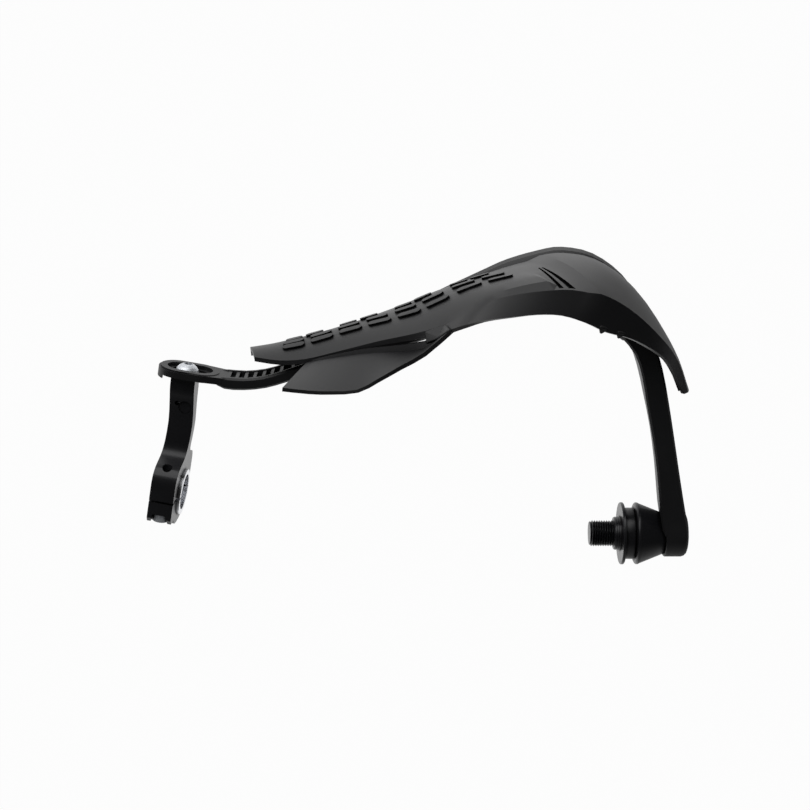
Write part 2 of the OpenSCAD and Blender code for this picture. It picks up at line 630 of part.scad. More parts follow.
module bar_end_spacer() {
    x1 = flange_t + spacer_l;
    color([0.15, 0.15, 0.16]) from_flange() difference() {
        turned([[flange_t, 0], [flange_t, spacer_d - 0.6], [flange_t + 0.4, spacer_d],
            [x1 - spacer_groove, spacer_d], [x1 - spacer_groove, spacer_d - 2.4],
            [x1, spacer_d - 2.4], [x1, 0]]);
        rod_x(bore_in, 0, boss_x0);
    }
}
module bar_end_cone() {
    x0 = flange_t + spacer_l;
    color([0.17, 0.17, 0.18]) from_flange() difference() {
        turned([[x0, 0], [x0, cone_d - 3], [x0 + 0.5, cone_d - 1], [x0 + 1.2, cone_d],
            [x0 + 2.2, cone_d - 0.3], [x0 + 3.2, cone_d - 1.4], [boss_x0 - 0.5, cone_end_d],
            [boss_x0, cone_end_d - 0.8], [boss_x0, 0]]);
        rod_x(bore_in, 0, boss_x0 + 1);
    }
}

// Arm and clamp, in the arm's frame: the plate's underside is y = 0 and the handlebar crosses at y = -arm_l
clamp_r = reducer_d / 2;
bolt_fit = 0.2;
side_profile = [[0, head_depth / 2], [-9, head_depth / 2], [-13.5, head_depth / 2 - 1],
    [-18, arm_depth / 2 + 0.6], [-23, arm_depth / 2], [-34, arm_depth / 2], [-44, arm_depth / 2],
    [-48.5, arm_depth / 2 + 1.4],
    [-51.5, arm_depth / 2 + 4.6], [-53.4, 15], [-55.4, 20.5], [-59, 24.2], [-64, ear_reach], [-70, ear_reach],
    [-arm_l + clamp_gap / 2, ear_reach]];
function half_outline() = [for (s = [0:0.5:len(side_profile) - 1]) run(side_profile, s)];
// The arm's middle line bows outboard between the plate and the clamp
bow = [[4, -0.8], [-6, -0.6], [-18, 0.2], [-30, 1], [-42, 0.6], [-54, -0.4], [-64, -0.8], [-arm_l - 1, -0.8]];
bow_x = bow[len(bow) - 1][1];
module bowed_slab() {
    line = [for (s = [0:0.5:len(bow) - 1]) run(bow, s)];
    m = len(line);
    translate([0, 0, -60]) linear_extrude(height = 120) polygon(concat(
        [for (p = line) [p[1] + arm_w / 2, p[0]]],
        [for (i = [m - 1:-1:0]) [line[i][1] - arm_w / 2, line[i][0]]]));
}
function both_sides(list) = concat(list, [for (i = [len(list) - 1:-1:0]) [list[i][0], -list[i][1]]]);
module prism(points, width) {
    rotate([90, 0, 90]) translate([0, 0, -width / 2]) linear_extrude(height = width) polygon(points);
}
module bore_x(d) {
    translate([0, -arm_l, 0]) rotate([0, 90, 0]) translate([0, 0, -40]) cylinder(d = d, h = 80, $fn = 96);
}
tap_d = clamp_bolt_d + 0.1;
module clamp_arm() {
    color([0.13, 0.13, 0.14]) from_flange() arm_frame() difference() {
        intersection() {
            prism(both_sides(half_outline()), arm_w + 10);
            bowed_slab();
        }
        bore_x(reducer_d);
        rod_y(slot_screw_d + 0.1, -slot_screw_grip - 2, 1);
        for (z = [-bolt_offset, bolt_offset]) translate([bow_x, 0, z]) rod_y(tap_d, -arm_l - 1, -40);
        translate([-2.6, -17.5, 2]) cylinder(d = 3, h = 20, $fn = 32);
        translate([2.4, -19.5, arm_depth / 2 - 0.4]) cylinder(d = 8, h = 20, $fn = 48);
    }
}
cap_y = -arm_l - clamp_gap / 2;
cap_end = -arm_l - cap_depth;
pocket_y = cap_end + 5.6;
cap_profile = [[cap_y, ear_reach], [cap_end + 3, ear_reach], [cap_end, ear_reach - 2.6], [cap_end, 14.5],
    [cap_end - 1.6, 13], [-arm_l - clamp_r - 4.4, 9], [-arm_l - clamp_r - 5.2, 4]];
pocket_d = 10.8;
module clamp_cap() {
    color([0.13, 0.13, 0.14]) from_flange() arm_frame() difference() {
        translate([bow_x, 0, 0]) prism(both_sides(cap_profile), arm_w);
        bore_x(reducer_d);
        for (z = [-1, 1]) {
            translate([bow_x, 0, z * bolt_offset]) rod_y(clamp_bolt_d + 2 * bolt_fit, cap_end - 5, 0);
            translate([bow_x, 0, z * bolt_offset]) rod_y(pocket_d, cap_end - 20, pocket_y);
            translate([bow_x, 0, z > 0 ? bolt_offset : -bolt_offset - 12]) linear_extrude(height = 12)
                polygon([[-4.2, pocket_y], [4.2, pocket_y], [6.2, cap_end - 5], [-6.2, cap_end - 5]]);
        }
    }
}
clamp_head_d = 9.6;
clamp_head_h = 5.2;
clamp_hex = 5;
clamp_bolt_l = 24;
module clamp_bolt(side) {
    color([0.60, 0.61, 0.63]) from_flange() arm_frame()
    translate([bow_x, 0, side * bolt_offset]) difference() {
        union() {
            rod_y(clamp_head_d, pocket_y - clamp_head_h, pocket_y);
            rod_y(clamp_bolt_d, pocket_y - 0.5, pocket_y + clamp_bolt_l);
        }
        translate([0, pocket_y - clamp_head_h - 1, 0]) rotate([-90, 0, 0])
            cylinder(d = clamp_hex / cos(30), h = 4, $fn = 6);
    }
}
module clamp_bolt_upper() {
    clamp_bolt(1);
}
module clamp_bolt_lower() {
    clamp_bolt(-1);
}
module reducer_half(front) {
    l = arm_w + 2 * reducer_stand;
    color([0.80, 0.81, 0.83]) from_flange() arm_frame() difference() {
        translate([bow_x - l / 2, -arm_l, 0]) rotate([0, 90, 0]) cylinder(d = reducer_d, h = l, $fn = 96);
        bore_x(bar_d);
        translate([-l, front ? -arm_l - 40 + clamp_gap / 2 : -arm_l - clamp_gap / 2, -40])
            cube([2 * l, 40, 80]);
    }
}
module reducer_shell_front() {
    reducer_half(true);
}
module reducer_shell_rear() {
    reducer_half(false);
}
slot_hex = 5;
module slot_screw() {
    color([0.78, 0.79, 0.81]) from_flange() arm_frame() union() {
        translate([0, recess_y, 0]) rotate([-90, 0, 0]) button_head(slot_head_d, slot_head_h, slot_hex);
        rod_y(slot_screw_d, -slot_screw_grip, recess_y + 0.5);
    }
}

// Self-tapping screws that hold the shield to the backbone
module shield_screw(k) {
    y = fix_rear(k);
    r = fix_head_d / 2;
    h = fix_head_h;
    color([0.20, 0.20, 0.21]) from_flange() on_spine(fix_at[k]) difference() {
        union() {
            translate([0, y, 0]) rotate([90, 0, 0]) rotate_extrude($fn = 48)
                polygon([[0, 0], [r, 0], [r, h * 0.45], [r - 1, h * 0.85], [r - 2.2, h], [0, h]]);
            rod_y(fix_screw_d, y - 0.5, fix_front(k) + fix_reach[k] - 1);
        }
        for (a = [0, 90])
            translate([0, y - h, 0]) rotate([0, a, 0]) cube([4.6, 3.2, 1.1], center = true);
    }
}
module shield_screw_inner() {
    shield_screw(0);
}
module shield_screw_middle() {
    shield_screw(1);
}
module shield_screw_outer() {
    shield_screw(2);
}
module shield_screw_end() {
    shield_screw(3);
}

shield();
backbone();
boss_sleeve();
clamp_arm();
clamp_cap();
clamp_bolt_upper();
clamp_bolt_lower();
reducer_shell_front();
reducer_shell_rear();
slot_screw();
bar_end_stud();
bar_end_spacer();
bar_end_cone();
bar_end_bolt();
bar_end_washer();
shield_screw_inner();
shield_screw_middle();
shield_screw_outer();
shield_screw_end();
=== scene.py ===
"""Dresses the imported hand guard: its skins, threads, finishes, light and camera."""

from __future__ import annotations
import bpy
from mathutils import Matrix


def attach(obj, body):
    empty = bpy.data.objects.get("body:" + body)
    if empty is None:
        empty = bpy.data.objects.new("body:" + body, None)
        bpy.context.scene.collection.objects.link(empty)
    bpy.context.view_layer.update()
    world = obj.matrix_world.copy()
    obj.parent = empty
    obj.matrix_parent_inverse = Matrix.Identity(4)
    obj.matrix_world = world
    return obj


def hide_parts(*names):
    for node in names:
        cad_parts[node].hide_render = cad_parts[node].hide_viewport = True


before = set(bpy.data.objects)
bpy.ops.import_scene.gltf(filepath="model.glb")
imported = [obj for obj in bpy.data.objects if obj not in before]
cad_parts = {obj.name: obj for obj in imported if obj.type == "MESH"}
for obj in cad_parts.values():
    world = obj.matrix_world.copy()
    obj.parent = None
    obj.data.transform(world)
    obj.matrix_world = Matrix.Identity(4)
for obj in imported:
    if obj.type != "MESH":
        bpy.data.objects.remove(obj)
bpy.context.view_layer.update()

import logging
import math
from dataclasses import dataclass
from enum import Enum

import bmesh
import bpy
from mathutils import Vector

MM = 0.001
LOG = logging.getLogger("hand_guard")

# Millimetres along the axis and across it: a section's point, or a length and a drop
Point = tuple[float, float]
Colour = tuple[float, float, float]


class Slot(Enum):
    """Material slots of the record."""

    SHIELD = "shield_plastic"
    BACKBONE = "backbone_plastic"
    BLACK_ALUMINIUM = "black_aluminium"
    SILVER_ALUMINIUM = "silver_aluminium"
    PLATED_STEEL = "plated_steel"
    BLACK_STEEL = "black_steel"


class Body(Enum):
    """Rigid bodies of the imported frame."""

    BAR_END = "bar_end"
    GUARD = "guard"
    CARRIAGE = "carriage"
    CLAMP = "clamp"


class Lay(Enum):
    """How the tool marks of a piece run."""

    NONE = "none"
    AROUND_X = "around_x"


# ------------------------------------------------------------------------------------ shader maths


class Signal:
    """One value in a node tree, with arithmetic that adds the nodes it needs."""

    def __init__(self, tree: bpy.types.NodeTree, socket: bpy.types.NodeSocket) -> None:
        """Wraps a socket.

        Args:
            tree: The node tree that holds the socket.
            socket: The output that carries the value.
        """
        self.tree = tree
        self.socket = socket

    def _maths(self, operation: str, *operands: Signal | float) -> Signal:
        """Adds one Math node.

        Args:
            operation: The node's operation.
            operands: Values or numbers for its inputs.

        Returns:
            The node's result.
        """
        node = self.tree.nodes.new("ShaderNodeMath")
        node.operation = operation
        for entry, operand in zip(node.inputs, operands):
            if isinstance(operand, Signal):
                self.tree.links.new(operand.socket, entry)
            else:
                entry.default_value = operand
        return Signal(self.tree, node.outputs[0])

    def __add__(self, other: Signal | float) -> Signal:
        """Sum."""
        return self._maths("ADD", self, other)

    __radd__ = __add__

    def __sub__(self, other: Signal | float) -> Signal:
        """Difference."""
        return self._maths("SUBTRACT", self, other)

    def __rsub__(self, other: float) -> Signal:
        """Difference from a number."""
        return self._maths("SUBTRACT", other, self)

    def __mul__(self, other: Signal | float) -> Signal:
        """Product."""
        return self._maths("MULTIPLY", self, other)

    __rmul__ = __mul__

    def __pow__(self, other: float) -> Signal:
        """Power."""
        return self._maths("POWER", self, other)

    def sine(self) -> Signal:
        """Sine of an angle in radians."""
        return self._maths("SINE", self)

    def clamp(self) -> Signal:
        """The value held between 0 and 1."""
        return self._maths("MINIMUM", self._maths("MAXIMUM", self, 0.0), 1.0)


SocketValue = Signal | float | tuple[float, ...]


class Board:
    """Adds nodes to one tree, a material's or the world's."""

    def __init__(self, tree: bpy.types.NodeTree) -> None:
        """Empties the tree.

        Args:
            tree: The node tree.
        """
        self.tree = tree
        self.tree.nodes.clear()

    def add(
        self,
        kind: str,
        settings: dict[str, object] | None = None,
        sockets: dict[str | int, SocketValue] | None = None,
    ) -> bpy.types.Node:
        """Adds any node that isn't a Math node.

        Args:
            kind: The node's type.
            settings: Properties, which are set before the sockets.
            sockets: Values or signals for its sockets, by name or by place.

        Returns:
            The node.
        """
        node = self.tree.nodes.new(kind)
        for key, value in (settings or {}).items():
            setattr(node, key, value)
        for key, value in (sockets or {}).items():
            self.feed(node, key, value)
        return node

    def feed(self, node: bpy.types.Node, key: str | int, value: SocketValue) -> None:
        """Sets or links one socket.

        Args:
            node: The node that owns the socket.
            key: The socket's name or place.
            value: A number, a colour or a signal.
        """
        if isinstance(value, Signal):
            self.tree.links.new(value.socket, node.inputs[key])
        else:
            node.inputs[key].default_value = value

    def out(self, node: bpy.types.Node, key: str | int = 0) -> Signal:
        """An output as a signal."""
        return Signal(self.tree, node.outputs[key])

    def split(self, vector: Signal) -> tuple[Signal, Signal, Signal]:
        """A vector's three parts."""
        node = self.add("ShaderNodeSeparateXYZ", sockets={"Vector": vector})
        return self.out(node, 0), self.out(node, 1), self.out(node, 2)

    def swell(self, value: Signal, start: float, full: float, height: float = 1.0) -> Signal:
        """A smooth rise from 0 to a height.

        Args:
            value: What the rise follows.
            start: The value where it begins.
            full: The value where it is complete.
            height: Its height.

        Returns:
            The rise.
        """
        rise = self.add(
            "ShaderNodeMapRange",
            {"interpolation_type": "SMOOTHSTEP"},
            {"Value": value, "From Min": start, "From Max": full, "To Min": 0.0, "To Max": height},
        )
        return self.out(rise)


@dataclass(frozen=True)
class Mottle:
    """One layer of noise: its lumps in a millimetre, and how much finer detail they carry."""

    per_mm: float
    detail: float = 1.0
    roughness: float = 0.5


@dataclass(frozen=True)
class HollowShade:
    """Painted shade between close walls, where real shade falls: how near they have to be, and how
    dark it is painted.
    """

    reach_mm: float
    dark: float


class Bench(Board):
    """Builds the node tree of one material."""

    # Places of the colour sockets on a Mix node
    MIX_SHARE, MIX_A, MIX_B, MIX_RESULT = 0, 6, 7, 2
    # Openness of a spot where the painted shade begins and where it is complete, and its probes
    OPEN, CLOSED, PROBES = 0.9, 0.45, 8
    # Colour of the painted shade, for spots that the light doesn't reach
    SHADE = (0.003, 0.003, 0.003)

    def __init__(self, name: str) -> None:
        """Starts a material with a principled shader.

        Args:
            name: The material's name.
        """
        self.material = bpy.data.materials.new(name)
        self.material.use_nodes = True
        super().__init__(self.material.node_tree)
        self.output = self.add("ShaderNodeOutputMaterial")
        self.shader = self.add("ShaderNodeBsdfPrincipled")
        self.feed(self.output, "Surface", self.out(self.shader))

    def place(self) -> Signal:
        """The point's place in the part's own frame, in metres."""
        return self.out(self.add("ShaderNodeTexCoord"), "Object")

    def noise(self, layer: Mottle) -> Signal:
        """Noise about 0.5.

        Args:
            layer: Its scale and detail.

        Returns:
            The noise.
        """
        node = self.add(
            "ShaderNodeTexNoise",
            sockets={
                "Vector": self.place(),
                "Scale": layer.per_mm / MM,
                "Detail": layer.detail,
                "Roughness": layer.roughness,
            },
        )
        return self.out(node)

    def tint(self, colour: Colour, other: Colour, share: Signal) -> Signal:
        """A colour between two.

        Args:
            colour: The colour at share 0.
            other: The colour at share 1.
            share: The mix.

        Returns:
            The mixed colour.
        """
        node = self.add(
            "ShaderNodeMix",
            {"data_type": "RGBA"},
            {self.MIX_SHARE: share, self.MIX_A: (*colour, 1.0), self.MIX_B: (*other, 1.0)},
        )
        return self.out(node, self.MIX_RESULT)

    def surface(self, sockets: dict[str | int, SocketValue]) -> None:
        """Sets the principled shader's sockets."""
        for key, value in sockets.items():
            self.feed(self.shader, key, value)

    def relief(self, height: Signal, depth_mm: float) -> None:
        """Bumps the surface.

        Args:
            height: Height from 0 to 1.
            depth_mm: Depth of the relief.
        """
        bump = self.add(
            "ShaderNodeBump", sockets={"Strength": 1.0, "Distance": depth_mm * MM, "Height": height}
        )
        self.feed(self.shader, "Normal", self.out(bump))

    def blend(self, share: Signal, other: bpy.types.Node) -> None:
        """Lays another shader over the principled one.

        Args:
            share: How much of the other shows, from 0 to 1.
            other: The other shader.
        """
        mix = self.add(
            "ShaderNodeMixShader", sockets={0: share, 1: self.out(self.shader), 2: self.out(other)}
        )
        self.feed(self.output, "Surface", self.out(mix))

    def paint_hollow_shade(self, groove: HollowShade) -> None:
        """Paints shade into narrow grooves and deep corners, where real ones swallow the light: a
        near-black diffuse shader mixed in by ambient occlusion.

        Args:
            groove: How near the facing walls have to be, and how dark the painted shade is.
        """
        openness = self.add(
            "ShaderNodeAmbientOcclusion",
            {"samples": self.PROBES},
            {"Distance": groove.reach_mm * MM},
        )
        # Painted shade: the less open the spot, the more of the near-black diffuse shader is mixed
        # in
        shade_share = self.swell(self.out(openness, "AO"), self.OPEN, self.CLOSED, groove.dark)
        self.blend(shade_share, self.add("ShaderNodeBsdfDiffuse", sockets={"Color": (*self.SHADE, 1.0)}))


# ---------------------------------------------------------------------------------------- finishes


@dataclass(frozen=True, kw_only=True)
class Finish:
    """What every finish has: two colours, the roughness of its smoothest spots, and the painted
    shade in its grooves and corners.
    """

    name: str
    colour: Colour
    other: Colour
    roughness: float
    # Painted shade laid into the grooves and corners of this finish
    groove: HollowShade

    def paint(self, bench: Bench) -> None:
        """Sets the colour, the roughness and the relief.

        Args:
            bench: The material's node tree.
        """
        raise NotImplementedError

    def make(self) -> bpy.types.Material:
        """Builds the material.

        Returns:
            The material.
        """
        bench = Bench(self.name)
        self.paint(bench)
        # Paints shade into the grooves and corners over every finish
        bench.paint_hollow_shade(self.groove)
        return bench.material


@dataclass(frozen=True, kw_only=True)
class MouldedPlastic(Finish):
    """Moulded black plastic with a fine spark-eroded grain and faint flow marks."""

    grain: Mottle
    grain_mm: float
    flow: Mottle
    specular: float
    ior: float = 1.5
    flow_gain: float = 1.6
    flow_offset: float = 0.3
    flow_roughness: float = 0.06
    grain_roughness: float = 0.04

    def paint(self, bench: Bench) -> None:
        """Sets the colour, the roughness and the relief.

        Args:
            bench: The material's node tree.
        """
        flow, grain = bench.noise(self.flow), bench.noise(self.grain)
        share = (flow * self.flow_gain - self.flow_offset).clamp()
        roughness = self.roughness + flow * self.flow_roughness + grain * self.grain_roughness
        bench.surface(
            {
                "Base Color": bench.tint(self.colour, self.other, share),
                "Roughness": roughness,
                "Specular IOR Level": self.specular,
                "IOR": self.ior,
            }
        )
        bench.relief(grain, self.grain_mm)


@dataclass(frozen=True, kw_only=True)
class AnodisedMetal(Finish):
    """Aluminium with an anodised skin, bead-blasted or turned."""

    metallic: float
    relief_mm: float
    # Painted shade in hollows, reaching 3 mm
    groove: HollowShade = HollowShade(3.0, 0.7)
    cloud: Mottle = Mottle(0.05, 2.0)
    grain: Mottle = Mottle(3.0)
    cloud_gain: float = 2.0
    cloud_offset: float = 0.55
    cloud_roughness: float = 0.05
    grain_roughness: float = 0.05
    # The rings that turning leaves: their pitch, and what they and the grain give to the relief
    lay: Lay = Lay.NONE
    ring_pitch_mm: float = 0.18
    ring_share: float = 0.35
    grain_share: float = 0.5

    def paint(self, bench: Bench) -> None:
        """Sets the colour, the roughness and the relief.

        Args:
            bench: The material's node tree.
        """
        cloud, grain = bench.noise(self.cloud), bench.noise(self.grain)
        share = (cloud * self.cloud_gain - self.cloud_offset).clamp()
        roughness = self.roughness + cloud * self.cloud_roughness + grain * self.grain_roughness
        bench.surface(
            {
                "Base Color": bench.tint(self.colour, self.other, share),
                "Metallic": self.metallic,
                "Roughness": roughness,
            }
        )
        bench.relief(self.height(bench, grain), self.relief_mm)

    def height(self, bench: Bench, grain: Signal) -> Signal:
        """Height of the relief: the grain, with the rings of a turned piece.

        Args:
            bench: The material's node tree.
            grain: The grain's noise.

        Returns:
            The height.
        """
        if self.lay is Lay.NONE:
            return grain
        x, y, z = bench.split(bench.place())
        radius = (y * y + z * z) ** 0.5
        turns = ((x + radius) * (2 * math.pi / (self.ring_pitch_mm * MM))).sine()
        return turns * self.ring_share + grain * self.grain_share


@dataclass(frozen=True, kw_only=True)
class PlatedMetal(Finish):
    """Steel with a thin plated or blackened skin."""

    metallic: float = 1.0
    # Painted shade in hollows, reaching 1.5 mm
    groove: HollowShade = HollowShade(1.5, 0.85)
    cloud: Mottle = Mottle(0.35, 3.0, 0.6)
    speck: Mottle = Mottle(5.0)
    speck_mm: float = 0.004
    cloud_gain: float = 2.2
    cloud_offset: float = 0.6
    cloud_roughness: float = 0.06
    speck_roughness: float = 0.04

    def paint(self, bench: Bench) -> None:
        """Sets the colour, the roughness and the relief.

        Args:
            bench: The material's node tree.
        """
        cloud, speck = bench.noise(self.cloud), bench.noise(self.speck)
        share = (cloud * self.cloud_gain - self.cloud_offset).clamp()
        roughness = self.roughness + cloud * self.cloud_roughness + speck * self.speck_roughness
        bench.surface(
            {
                "Base Color": bench.tint(self.colour, self.other, share),
                "Metallic": self.metallic,
                "Roughness": roughness,
            }
        )
        bench.relief(speck, self.speck_mm)


BLACK_ANODISED, BLACK_ANODISED_WORN = (0.010, 0.010, 0.012), (0.016, 0.016, 0.018)

FINISHES: dict[tuple[Slot, Lay], Finish] = {
    (Slot.SHIELD, Lay.NONE): MouldedPlastic(
        name="shield_black_plastic",
        colour=(0.006, 0.006, 0.007),
        other=(0.009, 0.009, 0.010),
        roughness=0.37,
        # Painted shade in hollows, reaching 14 mm and nearly black
        groove=HollowShade(14.0, 0.9),
        grain=Mottle(2.2),
        grain_mm=0.012,
        flow=Mottle(0.03, 3.0, 0.55),
        specular=0.46,
    ),
    (Slot.BACKBONE, Lay.NONE): MouldedPlastic(
        name="backbone_black_plastic",
        colour=(0.007, 0.007, 0.008),
        other=(0.012, 0.012, 0.013),
        roughness=0.41,
        # Painted shade in hollows, reaching 14 mm and faint
        groove=HollowShade(14.0, 0.15),
        grain=Mottle(1.6),
        grain_mm=0.02,
        flow=Mottle(0.06, 3.0, 0.55),
        specular=0.40,
    ),
    (Slot.BLACK_ALUMINIUM, Lay.NONE): AnodisedMetal(
        name="black_anodised",
        colour=BLACK_ANODISED,
        other=BLACK_ANODISED_WORN,
        roughness=0.28,
        metallic=0.2,
        relief_mm=0.008,
    ),
    (Slot.BLACK_ALUMINIUM, Lay.AROUND_X): AnodisedMetal(
        name="black_anodised_turned",
        colour=BLACK_ANODISED,
        other=BLACK_ANODISED_WORN,
        roughness=0.24,
        metallic=0.2,
        relief_mm=0.006,
        lay=Lay.AROUND_X,
    ),
    (Slot.SILVER_ALUMINIUM, Lay.NONE): AnodisedMetal(
        name="silver_turned",
        colour=(0.80, 0.81, 0.83),
        other=(0.70, 0.71, 0.74),
        roughness=0.20,
        metallic=1.0,
        relief_mm=0.006,
    ),
    (Slot.PLATED_STEEL, Lay.NONE): PlatedMetal(
        name="zinc_plated",
        colour=(0.78, 0.80, 0.83),
        other=(0.62, 0.65, 0.69),
        roughness=0.27,
        metallic=0.55,
    ),
    (Slot.BLACK_STEEL, Lay.NONE): PlatedMetal(
        name="blackened_steel",
        colour=(0.045, 0.045, 0.05),
        other=(0.07, 0.07, 0.075),
        roughness=0.33,
    ),
}


class Shop:
    """Makes each finish once and dresses pieces with it."""

    def __init__(self) -> None:
        """Builds every finish."""
        self.made = {key: finish.make() for key, finish in FINISHES.items()}

    def dress(self, piece: bpy.types.Object, slot: Slot, lay: Lay) -> None:
        """Puts one finish on a piece.

        Args:
            piece: The piece.
            slot: The record's slot that the piece takes its finish from.
            lay: How its tool marks run.
        """
        piece.data.materials.clear()
        piece.data.materials.append(self.made[slot, lay])


# ------------------------------------------------------------------------------------------ meshes


def turned(outline: list[Point], steps: int) -> bmesh.types.BMesh:
    """Spins an outline about X.

    Args:
        outline: Points of the section, in order. It closes on itself, or on the axis where its
            ends lie there.
        steps: Number of steps in the full turn.

    Returns:
        The mesh.
    """
    merge = 0.001 * MM
    shape = bmesh.new()
    points = [shape.verts.new((x * MM, 0.0, radius * MM)) for x, radius in outline]
    edges = [shape.edges.new(pair) for pair in zip(points, points[1:])]
    if outline[0][1] > 0:
        edges.append(shape.edges.new((points[-1], points[0])))
    bmesh.ops.spin(
        shape,
        geom=points + edges,
        cent=(0, 0, 0),
        axis=(1, 0, 0),
        angle=2 * math.pi,
        steps=steps,
        use_merge=True,
    )
    bmesh.ops.remove_doubles(shape, verts=shape.verts, dist=merge)
    bmesh.ops.recalc_face_normals(shape, faces=shape.faces)
    return shape


def round_edges(
    shape: bmesh.types.BMesh, edges: list[bmesh.types.BMEdge], radius_mm: float, slide: bool = False
) -> None:
    """Rounds some edges of a mesh.

    Args:
        shape: The mesh.
        edges: The edges.
        radius_mm: How far the rounding reaches.
        slide: Whether its ends slide along the edges that they meet.
    """
    bmesh.ops.bevel(
        shape,
        geom=edges,
        affect="EDGES",
        offset=radius_mm * MM,
        offset_type="OFFSET",
        segments=2,
        profile=0.5,
        material=-1,
        clamp_overlap=True,
        loop_slide=slide,
    )


@dataclass(kw_only=True)
class Piece:
    """A closed mesh that stands for one CAD node and rides on its body."""

    # A face is upright where its normal's part along Z is below this
    UPRIGHT = 0.7

    node: str
    body: Body
    slot: Slot
    lay: Lay = Lay.NONE
    # Edges sharper than this many degrees stay sharp
    crease: float = 32.0
    # The same for edges between upright faces, where it differs
    side_crease: float | None = None

    def name(self) -> str:
        """The piece's name."""
        raise NotImplementedError

    def model(self) -> bmesh.types.BMesh:
        """The piece's mesh, in metres in the part's frame."""
        raise NotImplementedError

    def shade(self, shape: bmesh.types.BMesh) -> None:
        """Shades a mesh smooth between its creases.

        Args:
            shape: The mesh.
        """
        shape.normal_update()
        for face in shape.faces:
            face.smooth = True
        for edge in shape.edges:
            upright = all(abs(face.normal.z) < self.UPRIGHT for face in edge.link_faces)
            own_limit = upright and self.side_crease is not None
            limit = math.radians(self.side_crease if own_limit else self.crease)
            edge.smooth = len(edge.link_faces) == 2 and edge.calc_face_angle(0.0) <= limit

    def build(self, shop: Shop) -> bpy.types.Object:
        """Turns the mesh into a piece that rides on its body.

        Args:
            shop: The finishes.

        Returns:
            The piece.
        """
        name = self.name()
        shape = self.model()
        self.shade(shape)
        mesh = bpy.data.meshes.new(name)
        shape.to_mesh(mesh)
        shape.free()
        piece = bpy.data.objects.new(name, mesh)
        bpy.context.scene.collection.objects.link(piece)
        shop.dress(piece, self.slot, self.lay)
        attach(piece, self.body.value)
        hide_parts(self.node)
        LOG.info("%s: %d faces on %s", name, len(mesh.polygons), self.body.value)
        return piece


@dataclass(kw_only=True)
class Skin(Piece):
    """A merged copy of a CAD node, with its sharp edges rounded where asked."""

    # Sizes in millimetres: points nearer than this merge, and slivers thinner than this go
    merge: float = 0.002
    sliver: float = 0.0005
    rounding: float = 0.0
    # Edges sharper than this many degrees and longer than this many millimetres are rounded
    round_from: float = 50.0
    round_longer: float = 0.3
    # Faces that meet within this many degrees are one before the rounding
    flat: float = 0.5

    def name(self) -> str:
        """The piece's name."""
        return self.node + "_skin"

    def model(self) -> bmesh.types.BMesh:
        """Copies the node's mesh and merges it.

        Returns:
            The mesh.
        """
        shape = bmesh.new()
        shape.from_mesh(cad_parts[self.node].data)
        bmesh.ops.remove_doubles(shape, verts=shape.verts, dist=self.merge * MM)
        bmesh.ops.dissolve_degenerate(shape, edges=shape.edges, dist=self.sliver * MM)
        if self.rounding:
            self.soften(shape)
        return shape

    def soften(self, shape: bmesh.types.BMesh) -> None:
        """Rounds the sharp edges.

        Args:
            shape: The mesh.
        """
        bmesh.ops.dissolve_limit(
            shape,
            angle_limit=math.radians(self.flat),
            verts=shape.verts,
            edges=shape.edges,
            use_dissolve_boundaries=False,
        )
        sharp = [
            edge
            for edge in shape.edges
            if len(edge.link_faces) == 2
            and edge.calc_face_angle(0.0) > math.radians(self.round_from)
            and edge.calc_length() > self.round_longer * MM
        ]
        round_edges(shape, sharp, self.rounding, slide=True)


@dataclass(kw_only=True)
class Spindle(Piece):
    """A piece spun about the bar's axis from its section, with its sharp rings rounded."""

    outline: list[Point]
    rounding: float
    body: Body = Body.BAR_END
    slot: Slot = Slot.BLACK_ALUMINIUM
    lay: Lay = Lay.AROUND_X
    steps: int = 128
    # Rings sharper than this many degrees are rounded
    round_from: float = 25.0

    def name(self) -> str:
        """The piece's name."""
        return self.node + "_turned"

    def model(self) -> bmesh.types.BMesh:
        """Spins the section and rounds its sharp rings.

        Returns:
            The mesh.
        """
        shape = turned(self.outline, self.steps)
        limit = math.radians(self.round_from)
        rings = [edge for edge in shape.edges if edge.calc_face_angle(0.0) > limit]
        round_edges(shape, rings, self.rounding)
        return shape


# ---------------------------------------------------------------------------------- sub-assemblies


